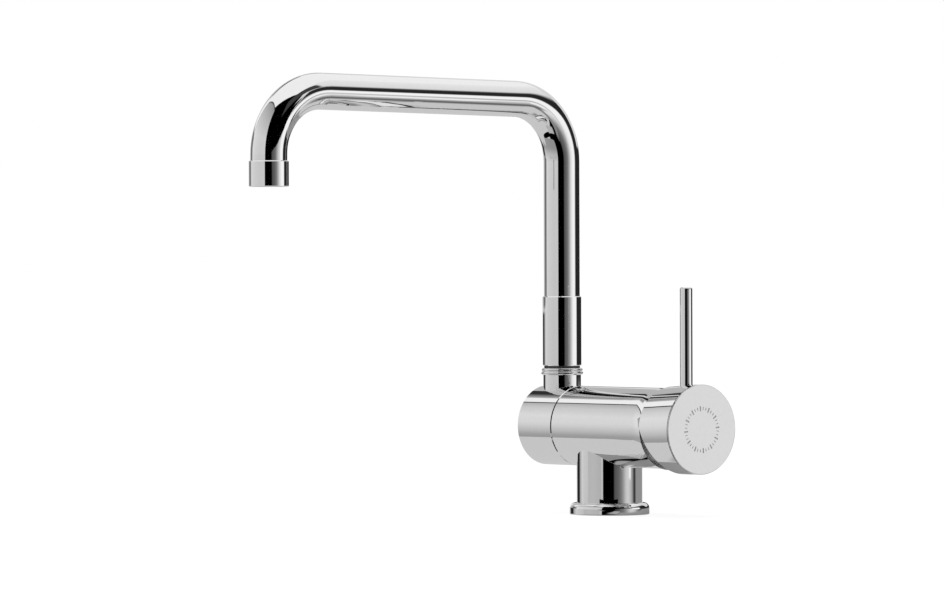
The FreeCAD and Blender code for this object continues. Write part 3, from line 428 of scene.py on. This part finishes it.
def makeLamp(name, values):
    data = bpy.data.lights.new(name, "AREA")
    data.shape = "RECTANGLE"
    data.size, data.size_y = values["size"]
    data.energy = values["power"]
    lamp = bpy.data.objects.new(name, data)
    bpy.context.scene.collection.objects.link(lamp)
    lamp.location = values["place"]
    ahead = Vector(values["aim"]) - Vector(values["place"])
    lamp.rotation_euler = ahead.to_track_quat("-Z", "Y").to_euler()
    hideFrom(lamp, "camera", "glossy")


makeWorld(studioValues)
for cardName, cardValues in studioValues["cards"].items():
    makeCard(cardName, cardValues)
makeFloor(floorValues)
for patchName, patchValues in tablePatches.items():
    makePatch(patchName, patchValues)
makeLamp("overhead", lampValues)
bpy.ops.object.select_all(action="DESELECT")
print("studio ready")


# Finishes. Lengths are in metres on the tap, so that a pattern has its real scale. A noise is its
# scale, detail and roughness, and a look is a finish's colour, roughness and height.

# An axis is its direction, and its place on the two other axes
barrelHeight = 0.0534
barrelAxis = ("x", (0, barrelHeight))
columnAxis = ("z", (0, 0))
neckAxis = ("z", (-0.0443, 0))
outletAxis = ("z", (-0.0443, -0.22746))
leverAxis = ("z", (0.0709, 0))
rotorPinAxis = ("y", (0.058, barrelHeight))

platingValues = {
    "dark": (0.865, 0.868, 0.872),
    "light": (0.895, 0.895, 0.895),
    "toneRange": (0.2, 0.6),         # haze over which the dark colour turns light
    "peel": (70, 1.0),               # noise of the long waves under the plating
    "peelHeight": 0.000012,
    "haze": (420, 4.0, 0.6),
    "hazeRange": (0.4, 0.8),
    "roughness": (0.015, 0.04),      # where clear and where hazy
    "lineScale": 5200,               # fine polishing lines
    "lineTurn": 3,
    "lineRange": (0.55, 0.8),
    "lineRoughness": 0.012,
    "lineHeight": 0.00000003,
    "pitScale": 900,                 # grid of the few tiny pits
    "pitSize": 0.035,                # on that grid
    "pitPatches": 160,               # noise of the patches that have pits
    "pitLevel": 0.62,
    "pitShade": 0.6,
    "pitRoughness": 0.3,
    "pitDepth": 0.000006,
}

brassValues = {
    "dark": (0.46, 0.33, 0.15),
    "light": (0.78, 0.6, 0.32),
    "lines": (0.0003, 0.000004),     # pitch and depth of the tool marks
    "roughness": (0.22, 0.42),
}
steelValues = {
    "dark": (0.3, 0.3, 0.31),
    "light": (0.62, 0.62, 0.63),
    "lines": (0.00018, 0.0000015),
    "roughness": (0.16, 0.32),
}
blackSteelValues = {
    "dark": (0.015, 0.015, 0.017),
    "light": (0.07, 0.07, 0.075),
    "lines": (0.00025, 0.000002),
    "roughness": (0.28, 0.5),
}
paintedShadePlatingValues = {                # thin dull plating inside the cap and on its rear rim, coloured dark as painted shade in the seam
    "dark": (0.2, 0.195, 0.19),
    "light": (0.36, 0.355, 0.35),
    "lines": (0.0004, 0.000002),
    "roughness": (0.2, 0.38),
}
machiningValues = {                  # what all machined faces share
    "stain": (240, 4.0, 0.65),
    "bandScale": 900,                # brighter and duller bands round the axis
    "bandDetail": 3.0,
    "bandHeight": 0.000002,
    "bandShare": 0.4,                # of the colour
    "markShare": 0.04,
    "toneRange": (0.45, 0.85),
    "dullRange": (0.3, 0.7),
}
satinRoughness = 0.32                # more than that of polished plating


# Polished plating. The lines run round the axis.
def plating(finish, axis, waviness=1.0, tint=1.0):
    values = platingValues
    place = finish.place()
    along, reach, turn = finish.turned(*axis)
    peel = finish.noise(place, *values["peel"])
    haze = finish.noise(place, *values["haze"])
    lines = finish.rings(along, reach, turn * values["lineTurn"], values["lineScale"], 1.0)
    pits = finish.add("ShaderNodeTexVoronoi", {}, {"Vector": place, "Scale": values["pitScale"]})
    pit = finish.spread(pits, values["pitSize"], values["pitSize"] / 2)
    pit = pit * (finish.noise(place, values["pitPatches"]) > values["pitLevel"])
    low, high = (tuple(tint * part for part in values[name]) for name in ("dark", "light"))
    tone = finish.spread(haze - pit * values["pitShade"], *values["toneRange"])
    dull = finish.spread(haze, *values["hazeRange"], *values["roughness"])
    lineDull = finish.spread(lines, *values["lineRange"], 0.0, values["lineRoughness"])
    waves = peel * (values["peelHeight"] * waviness)
    relief = waves + lines * values["lineHeight"] - pit * values["pitDepth"]
    return finish.colour(tone, low, high), dull + lineDull + pit * values["pitRoughness"], relief


# Bare machined metal: tool marks round the axis, bands and stains
def machined(finish, axis, values=brassValues):
    shared = machiningValues
    along, reach, turn = finish.turned(*axis)
    pitch, depth = values["lines"]
    marks = ((along + reach) * (2 * math.pi / pitch) + turn).sine()
    bands = finish.rings(along, reach, 0, shared["bandScale"], shared["bandDetail"])
    stain = finish.noise(finish.place(), *shared["stain"])
    tone = finish.spread(
        stain + bands * shared["bandShare"] + marks * shared["markShare"], *shared["toneRange"]
    )
    roughness = finish.spread(bands, *shared["dullRange"], *values["roughness"])
    relief = marks * depth + bands * shared["bandHeight"]
    return finish.colour(tone, values["dark"], values["light"]), roughness, relief


# Plating over a turned face that is not polished
def satin(finish):
    colour, roughness, relief = plating(finish, barrelAxis)
    return colour, roughness + satinRoughness, relief


# The first look, and the second one where the mask is 1
def choose(finish, mask, first, second):
    colour = finish.mixColours(mask, first[0], second[0])
    return colour, first[1] + (second[1] - first[1]) * mask, first[2] + (second[2] - first[2]) * mask


def metal(finish, look, normal=None):
    colour, roughness, relief = look
    bump = finish.bump(relief, 1.0, normal)
    finish.shade({"Base Color": colour, "Metallic": 1.0, "Roughness": roughness, "Normal": bump})
    return finish.material


def chrome(name, axis, waviness=1.0):
    finish = Finish(name)
    return metal(finish, plating(finish, axis, waviness))


def satinChrome(name):
    finish = Finish(name)
    return metal(finish, satin(finish))


def turned(name, axis, values=brassValues):
    finish = Finish(name)
    return metal(finish, machined(finish, axis, values))


# Barrel and column. The plating covers the outside. The bores are bare, with threads below.
castingValues = {
    "skin": 0.0244,              # radius of the barrel
    "column": 0.02,
    "depth": 0.001,              # below the skin, where the bores begin
    "margin": 0.0003,            # between the barrel's skin and the column's bore
    "plated": 0.056,
    "flareStart": 0.048,
    "flareBend": 0.0532,
    "flareEnd": 0.0565,
    "endFace": 0.05655,
    "under": 0.00009,            # a face of the barrel's skin lies this much under or over it
    "over": 0.00004,
    "columnOver": 0.00006,
    "waviness": 1.2,
    "inlets": {"at": 0.0085, "reach": 0.0053, "pitch": 0.001, "deep": 0.012, "height": 0.0005},
    "stud": {"at": 0.012, "reach": 0.0042, "pitch": 0.00125, "deep": 0.016, "height": 0.0006},
}


def thread(finish, x, y, z, values):
    inside = ((x ** 2 + y ** 2).root() < values["reach"]) * (z < values["deep"])
    helix = z / values["pitch"] - finish.angle(y, x) / (2 * math.pi)
    return helix.maths("PINGPONG", helix, 0.5) * inside * (2 * values["height"])


def castingChrome(values):
    finish = Finish("castingChrome")
    x, y, z = finish.parts(finish.place())
    along, reach, _ = finish.turned(*barrelAxis)
    column = (x ** 2 + y ** 2).root()
    inBarrel = (reach < values["skin"] - values["depth"]) * (along < values["plated"])
    inColumn = (reach > values["skin"] + values["margin"]) * (column < values["column"] - values["depth"])
    polished = plating(finish, barrelAxis, values["waviness"])
    look = choose(finish, inBarrel.larger(inColumn), polished, machined(finish, barrelAxis))
    look = choose(finish, along > values["endFace"], look, satin(finish))
    inlets, stud = values["inlets"], values["stud"]
    inletThread = thread(finish, x, y - y.maths("SIGN", y) * inlets["at"], z, inlets)
    studThread = thread(finish, x - stud["at"], y, z, stud)
    look = (look[0], look[1], look[2] + inletThread + studThread)
    past = (along - values["flareStart"]).larger(0)
    profile = values["skin"] + past ** 2 / (2 * values["flareBend"])
    onBarrel = (reach > profile - values["under"]) * (reach < profile + values["over"])
    onBarrel = onBarrel * (along < values["flareEnd"])
    onColumn = (column - values["column"]).size() < values["columnOver"]
    below = onColumn * (1 - onBarrel)
    across = finish.join(past / values["flareBend"] * reach * -1, y, z - barrelHeight)
    direction = finish.mixVectors(below, across, finish.join(x, y, 0))
    return metal(finish, look, finish.exactNormal(direction, onBarrel.larger(below)))


# Hub and its neck, bare inside
hubValues = {
    "skin": 0.0244,
    "neck": 0.0116,
    "depth": 0.001,
    "margin": 0.0003,
    "endFace": -0.0578,
    "barrelFace": -0.0272,
    "under": 0.00003,            # the band round the skin that counts as skin: its middle's depth
    "half": 0.00007,             # and half its height
}


def hubChrome(values):
    finish = Finish("hubChrome")
    _, y, z = finish.parts(finish.place())
    along, reach, _ = finish.turned(*barrelAxis)
    _, neck, _ = finish.turned(*neckAxis)
    inside = along > values["endFace"]
    inHub = (reach < values["skin"] - values["depth"]) * inside
    inNeck = (reach > values["skin"] + values["margin"]) * (neck < values["neck"] - values["depth"])
    bare = inHub.larger(inNeck)
    look = choose(finish, bare, plating(finish, barrelAxis), machined(finish, barrelAxis))
    onSkin = (reach - values["skin"] + values["under"]).size() < values["half"]
    onHub = onSkin * inside * (along < values["barrelFace"])
    direction = finish.join(0, y, z - barrelHeight)
    return metal(finish, look, finish.exactNormal(direction, onHub))


# Cap. Its circles widen and rise from the rear rim to the plate.
capValues = {
    "rear": 0.0572,
    "front": 0.0839,
    "rearRadius": 0.0263,
    "frontRadius": 0.0272,
    "drop": 0.001,               # of the rear circle below the barrel's axis
    "depth": 0.0008,
    "rim": 0.00005,              # depth of the rear rim, which is coloured dark as painted shade in the seam
    "under": 0.00015,
    "ends": 0.0001,              # left out at both ends of the skin
}


def capChrome(values):
    finish = Finish("capChrome")
    x, y, z = finish.parts(finish.place())
    length = values["front"] - values["rear"]
    widen = (values["frontRadius"] - values["rearRadius"]) / length
    rise = values["drop"] / length
    past = x - values["rear"]
    up = z - barrelHeight + values["drop"] - past * rise
    reach = (y ** 2 + up ** 2).root()
    skin = past * widen + values["rearRadius"]
    # Inside the cap and on its rear rim, which faces the seam, the dark colour is painted shade
    inside = (reach < skin - values["depth"]).larger(past < values["rim"])
    paintedShadeLook = machined(finish, barrelAxis, paintedShadePlatingValues)
    look = choose(finish, inside, plating(finish, barrelAxis), paintedShadeLook)
    onSkin = (reach > skin - values["under"]) * (past > values["ends"]) * (past < length - values["ends"])
    direction = finish.join((reach * widen + up * rise) * -1, y, up)
    return metal(finish, look, finish.exactNormal(direction, onSkin))


# End plate: a mirror face, with satin floors in its engraved strokes
plateFinishValues = {
    "face": 0.0848,
    "tint": 0.84,
    "strokeFloor": 0.00008,      # below the face
    "ring": (0.011, 0.0142),     # where the strokes stand
    "dark": (0.42, 0.42, 0.42),
    "light": (0.672, 0.672, 0.672),
    "grain": 9000,
    "dullRange": (0.3, 0.7),
    "roughness": (0.35, 0.5),
    "height": 0.000004,
}


def plateChrome(values):
    finish = Finish("plateChrome")
    along, reach, _ = finish.turned(*barrelAxis)
    mirror = plating(finish, barrelAxis, tint=values["tint"])
    grain = finish.noise(finish.place(), values["grain"])
    colour = finish.colour(grain, values["dark"], values["light"])
    roughness = finish.spread(grain, *values["dullRange"], *values["roughness"])
    inner, outer = values["ring"]
    deep = along < values["face"] - values["strokeFloor"]
    floor = deep * (reach > inner) * (reach < outer)
    return metal(finish, choose(finish, floor, mirror, (colour, roughness, grain * values["height"])))


# Spring steel stamped from strip and ground along X
springValues = {
    "dark": (0.28, 0.29, 0.31),
    "light": (0.5, 0.5, 0.5),
    "temper": (380, 3.0),
    "toneRange": (0.35, 0.7),
    "lineScale": (300, 9000, 9000),
    "lineDetail": 2.0,
    "dullRange": (0.3, 0.7),
    "roughness": (0.2, 0.36),
    "height": 0.0000012,
}


def springSteel(name, values):
    finish = Finish(name)
    place = finish.place()
    across = finish.join(*(part * scale for part, scale in zip(finish.parts(place), values["lineScale"])))
    lines = finish.noise(across, 1.0, values["lineDetail"])
    temper = finish.spread(finish.noise(place, *values["temper"]), *values["toneRange"])
    roughness = finish.spread(lines, *values["dullRange"], *values["roughness"])
    colour = finish.colour(temper, values["dark"], values["light"])
    return metal(finish, (colour, roughness, lines * values["height"]))


# Drawn steel wire of the gauze
gauzeFinishValues = {
    "dark": (0.34, 0.34, 0.34),
    "light": (0.66, 0.66, 0.65),
    "dull": (700, 3.0),
    "drawn": (16000, 2.0),
    "drawnShare": 0.2,           # of the colour
    "toneRange": (0.4, 0.8),
    "dullRange": (0.3, 0.7),
    "roughness": (0.2, 0.34),
    "height": 0.000003,
}


def gauzeSteel(name, values):
    finish = Finish(name)
    place = finish.place()
    drawn = finish.noise(place, *values["drawn"])
    dull = finish.noise(place, *values["dull"])
    tone = finish.spread(dull + drawn * values["drawnShare"], *values["toneRange"])
    roughness = finish.spread(drawn, *values["dullRange"], *values["roughness"])
    colour = finish.colour(tone, values["dark"], values["light"])
    return metal(finish, (colour, roughness, drawn * values["height"]))


# Plain materials: two tones in patches, specks, a grain in the surface. Flow, grain and specks are
# the scales of their noise.
mouldedValues = {
    "sealRubber": {
        "dark": (0.012, 0.012, 0.013), "light": (0.03, 0.03, 0.032),
        "speck": (0.12, 0.12, 0.12), "speckStrength": 0.35,
        "flow": 260, "grain": 5200, "specks": 1500, "roughness": (0.48, 0.72), "relief": 0.00001,
    },
    "slideAcetal": {
        "dark": (0.018, 0.018, 0.02), "light": (0.035, 0.035, 0.038),
        "speck": (0.07, 0.07, 0.07), "speckStrength": 0.3,
        "flow": 180, "grain": 4200, "specks": 900, "roughness": (0.26, 0.42), "relief": 0.000005,
    },
    "whiteAcetal": {
        "dark": (0.72, 0.715, 0.69), "light": (0.82, 0.82, 0.8),
        "speck": (0.6, 0.59, 0.55), "speckStrength": 0.4,
        "flow": 150, "grain": 3800, "specks": 700, "roughness": (0.3, 0.46), "relief": 0.000006,
    },
    "greyNylon": {
        "dark": (0.3, 0.31, 0.32), "light": (0.4, 0.41, 0.42),
        "speck": (0.55, 0.55, 0.55), "speckStrength": 0.4,
        "flow": 130, "grain": 4600, "specks": 800, "roughness": (0.34, 0.52), "relief": 0.000008,
    },
    "jetPlastic": {
        "dark": (0.42, 0.43, 0.44), "light": (0.56, 0.57, 0.58),
        "speck": (0.3, 0.3, 0.3), "speckStrength": 0.4,
        "flow": 220, "grain": 3600, "specks": 900, "roughness": (0.3, 0.5), "relief": 0.000006,
    },
    "lappedCeramic": {
        "dark": (0.8, 0.795, 0.77), "light": (0.88, 0.88, 0.86),
        "speck": (0.55, 0.53, 0.5), "speckStrength": 0.5,
        "flow": 320, "grain": 12000, "specks": 2200, "roughness": (0.08, 0.2), "relief": 0.0000008,
    },
}
mouldingValues = {                   # what all of them share
    "flowDetail": (3.0, 0.55),
    "speckSize": (0.16, 0.08),       # on the grid of specks, where a speck begins and is full
    "toneGrain": 0.25,               # share of the grain in the tones, and in the roughness
    "dullGrain": 0.3,
    "toneRange": (0.4, 0.8),
    "dullRange": (0.4, 0.9),
    "reliefFlow": 0.4,
}


def moulded(name):
    values, shared = mouldedValues[name], mouldingValues
    finish = Finish(name)
    place = finish.place()
    flow = finish.noise(place, values["flow"], *shared["flowDetail"])
    grain = finish.noise(place, values["grain"])
    specks = finish.add("ShaderNodeTexVoronoi", {}, {"Vector": place, "Scale": values["specks"]})
    speck = finish.spread(specks, *shared["speckSize"]) * values["speckStrength"]
    tone = finish.spread(flow + grain * shared["toneGrain"], *shared["toneRange"])
    base = finish.colour(tone, values["dark"], values["light"])
    dull = flow + grain * shared["dullGrain"]
    finish.shade({
        "Base Color": finish.mixColours(speck, base, (*values["speck"], 1)),
        "Roughness": finish.spread(dull, *shared["dullRange"], *values["roughness"]),
        "Normal": finish.bump(grain + flow * shared["reliefFlow"], values["relief"]),
    })
    return finish.material


tubeWaviness = 1.5                   # the bent tube is the least even

slotFinishes = {
    "chrome_casting": castingChrome(castingValues),
    "chrome_hub": hubChrome(hubValues),
    "chrome_flange": chrome("flangeChrome", columnAxis),
    "chrome_ring": chrome("ringChrome", neckAxis),
    "chrome_sleeve": chrome("sleeveChrome", neckAxis),
    "chrome_tube": chrome("tubeChrome", neckAxis, tubeWaviness),
    "chrome_shell": chrome("shellChrome", outletAxis),
    "chrome_cap": capChrome(capValues),
    "chrome_plate": plateChrome(plateFinishValues),
    "chrome_lever": chrome("leverChrome", leverAxis),
    "chrome_dome": satinChrome("domeSatin"),
    "turned_brass": turned("spindleBrass", barrelAxis),
    "plain_steel": springSteel("springSteel", springValues),
    "steel_gauze": gauzeSteel("gauzeSteel", gauzeFinishValues),
    "seal_rubber": moulded("sealRubber"),
    "dark_plastic": moulded("slideAcetal"),
    "white_plastic": moulded("whiteAcetal"),
    "grey_plastic": moulded("greyNylon"),
    "jet_plastic": moulded("jetPlastic"),
    "white_ceramic": moulded("lappedCeramic"),
}

# Pieces whose finish differs from their slot's, because they were made about another axis, or are
# turned where the slot's others are stamped
nodeFinishes = {
    "hub_end_cap": chrome("hubCapChrome", barrelAxis),
    "neck_nipple": turned("nippleBrass", neckAxis),
    "outlet_ferrule": turned("ferruleBrass", outletAxis),
    "lever_stem": turned("stemSteel", barrelAxis, steelValues),
    "rotor_pin": turned("pinSteel", rotorPinAxis, steelValues),
    "grub_screw": turned("blackSteel", leverAxis, blackSteelValues),
}

for nodeName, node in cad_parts.items():
    slotName = node.data.materials[0].name
    node.data.materials.clear()
    node.data.materials.append(nodeFinishes.get(nodeName) or slotFinishes[slotName])
print("finishes set")


# Pieces modelled here, in metres

seamGap = 0.000001                   # points nearer than this are one


# Enters edit mode with the whole mesh selected
def edit(thing):
    bpy.context.view_layer.objects.active = thing
    bpy.ops.object.mode_set(mode="EDIT")
    bpy.ops.mesh.select_all(action="SELECT")


# Closes the seams, turns every face outwards, names the piece, gives it its slot's finish, hangs it on the
# body it rides on, and hides the piece it replaces
def finishPiece(thing, name, body, slotName, node, smoothAngle):
    edit(thing)
    bpy.ops.mesh.remove_doubles(threshold=seamGap)
    bpy.ops.mesh.normals_make_consistent(inside=False)
    bpy.ops.object.mode_set(mode="OBJECT")
    bpy.ops.object.select_all(action="DESELECT")
    thing.select_set(True)
    bpy.ops.object.transform_apply(location=True, rotation=True, scale=True)
    bpy.ops.object.shade_smooth_by_angle(angle=math.radians(smoothAngle))
    thing.name = name
    thing.data.materials.clear()
    thing.data.materials.append(slotFinishes[slotName])
    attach(thing, body)
    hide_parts(node)
    thing.select_set(False)


def selectFaces(thing, test):
    bpy.ops.mesh.select_all(action="DESELECT")
    mesh = bmesh.from_edit_mesh(thing.data)
    for face in mesh.faces:
        if test(face):
            face.select_set(True)


# End plate of the cap: a turned disc on a spigot, with a ring of short engraved strokes
plateValues = {
    "segments": 360,
    "spigot": 0.023,             # radius of the spigot in the cap
    "spigotDepth": 0.00115,
    "edge": 0.0003,              # bevel round the face
    "edgeSteps": 4,
    "ring": 0.0001,              # narrow ring beside the edge, which keeps the face's shading flat
    "flat": 0.99,                # least X of the normal of a face that lies flat
    "strokes": 36,
    "short": (0.0118, 0.0136, 2),   # inner and outer radius, width in segments
    "long": (0.0111, 0.0141, 4),    # each third stroke
    "strokeDepth": 0.00016,
    "smoothAngle": 25,
}


def makePlate(values):
    low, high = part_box("handle_disc")
    face, rim = high[0], (high[1] - low[1]) / 2
    axisHeight = (high[2] + low[2]) / 2
    turn = (0, math.pi / 2, 0)

    def scaleBy(factor):
        bpy.ops.transform.resize(value=(1, factor, factor), center_override=(0, 0, axisHeight))

    def extrudeBy(depth, factor=1.0):
        bpy.ops.mesh.extrude_region_move(TRANSFORM_OT_translate={"value": (depth, 0, 0)})
        if factor != 1.0:
            scaleBy(factor)

    bpy.ops.mesh.primitive_circle_add(
        vertices=values["segments"], radius=values["spigot"], fill_type="NGON",
        location=(low[0], 0, axisHeight), rotation=turn,
    )
    plate = bpy.context.object
    bpy.ops.object.transform_apply(location=True, rotation=True, scale=True)
    edit(plate)
    extrudeBy(values["spigotDepth"])
    extrudeBy(0, rim / values["spigot"])
    extrudeBy(face - low[0] - values["spigotDepth"])
    bpy.ops.mesh.region_to_loop()
    bpy.ops.mesh.bevel(offset=values["edge"], segments=values["edgeSteps"])

    def inFace(part):
        return part.normal.x > values["flat"] and part.calc_center_median().x > face - values["ring"]

    selectFaces(plate, inFace)
    flat = rim - values["edge"]
    (shortInner, shortOuter, _), (longInner, longOuter, _) = values["short"], values["long"]
    rings = [flat, flat - values["ring"], longOuter, shortOuter, shortInner, longInner]
    for outer, inner in zip(rings, rings[1:]):
        bpy.ops.mesh.inset(thickness=outer - inner)
    step = values["segments"] / values["strokes"]

    def inStroke(part):
        middle = part.calc_center_median()
        angle = math.degrees(math.atan2(middle.z - axisHeight, middle.y)) % 360
        stroke, place = divmod(angle * values["segments"] / 360, step)
        inner, outer, width = values["long" if stroke % 3 == 0 else "short"]
        onRing = inner < math.hypot(middle.y, middle.z - axisHeight) < outer
        return part.normal.x > values["flat"] and onRing and abs(place - step / 2) < width / 2

    selectFaces(plate, inStroke)
    bpy.ops.mesh.extrude_region_move(TRANSFORM_OT_translate={"value": (-values["strokeDepth"], 0, 0)})
    bpy.ops.object.mode_set(mode="OBJECT")
    finishPiece(plate, "engravedPlate", "lever", "chrome_plate", "handle_disc", values["smoothAngle"])


# Woven steel gauze in the outlet: crimped wires over and under each other, with a rolled rim
gauzeValues = {
    "wire": 0.00017,             # diameter
    "wireSides": 6,
    "pitch": 0.00078,
    "pitchSteps": 4,             # straight steps of a wire over one pitch
    "crimp": 0.0000875,          # how far a wire swings to each side
    "rimWire": 0.0003,
    "rimSegments": (96, 10),
    "trimSides": 28,
    "smoothAngle": 60,
}


def makeWire(values, phase, length):
    pitch, steps = values["pitch"], values["pitchSteps"]
    bpy.ops.mesh.primitive_circle_add(
        vertices=values["wireSides"], radius=values["wire"] / 2, fill_type="NGON",
        rotation=(0, math.pi / 2, 0),
    )
    wire = bpy.context.object
    bpy.ops.object.transform_apply(location=True, rotation=True, scale=True)
    edit(wire)

    def height(step):
        return values["crimp"] * math.sin(phase + math.pi * step / steps)

    for step in range(steps * round(length / pitch)):
        move = (pitch / steps, 0, height(step + 1) - height(step))
        bpy.ops.mesh.extrude_region_move(TRANSFORM_OT_translate={"value": move})
    bpy.ops.object.mode_set(mode="OBJECT")
    return wire


def makeGauze(values):
    low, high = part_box("aerator_screen")
    middle = [(start + end) / 2 for start, end in zip(low, high)]
    radius = (high[0] - low[0]) / 2 - values["rimWire"] / 2
    pitch = values["pitch"]
    pairs = math.ceil(radius / pitch)
    length = 2 * pairs * pitch
    wires = []
    for quarter in (0, 1):                      # wires along X, then along Y
        for row in (0, 1):                      # rows that start upwards, then downwards
            wire = makeWire(values, math.pi * row, length)
            wire.location = (-length / 2, (row + 0.5) * pitch - length / 2, 0)
            bpy.ops.object.transform_apply(location=True)
            rows = wire.modifiers.new("rows", "ARRAY")
            rows.use_relative_offset = False
            rows.use_constant_offset = True
            rows.constant_offset_displace = (0, 2 * pitch, 0)
            rows.count = pairs
            bpy.ops.object.modifier_apply(modifier="rows")
            wire.rotation_euler = (0, 0, quarter * math.pi / 2)
            bpy.ops.object.transform_apply(rotation=True)
            wires.append(wire)
    bpy.ops.object.select_all(action="DESELECT")
    for wire in wires:
        wire.select_set(True)
    gauze = bpy.context.object
    bpy.ops.object.join()
    edit(gauze)
    for side in range(values["trimSides"]):
        angle = 2 * math.pi * side / values["trimSides"]
        outwards = Vector((math.cos(angle), math.sin(angle), 0))
        bpy.ops.mesh.select_all(action="SELECT")
        bpy.ops.mesh.bisect(plane_co=outwards * radius, plane_no=outwards, clear_outer=True)
    bpy.ops.mesh.select_all(action="SELECT")
    bpy.ops.mesh.fill_holes(sides=0)
    bpy.ops.mesh.delete_loose(use_verts=True, use_edges=True, use_faces=False)
    bpy.ops.object.mode_set(mode="OBJECT")
    rimSegments, wireSegments = values["rimSegments"]
    bpy.ops.mesh.primitive_torus_add(
        major_radius=radius, minor_radius=values["rimWire"] / 2,
        major_segments=rimSegments, minor_segments=wireSegments,
    )
    gauze.select_set(True)
    bpy.ops.object.join()
    gauze = bpy.context.object
    gauze.location = middle                     # woven round the origin until here
    finishPiece(gauze, "wovenGauze", "spout", "steel_gauze", "aerator_screen", values["smoothAngle"])


makePlate(plateValues)
makeGauze(gauzeValues)
print("plate and gauze modelled")


bpy.context.scene.view_settings.view_transform = "Standard"
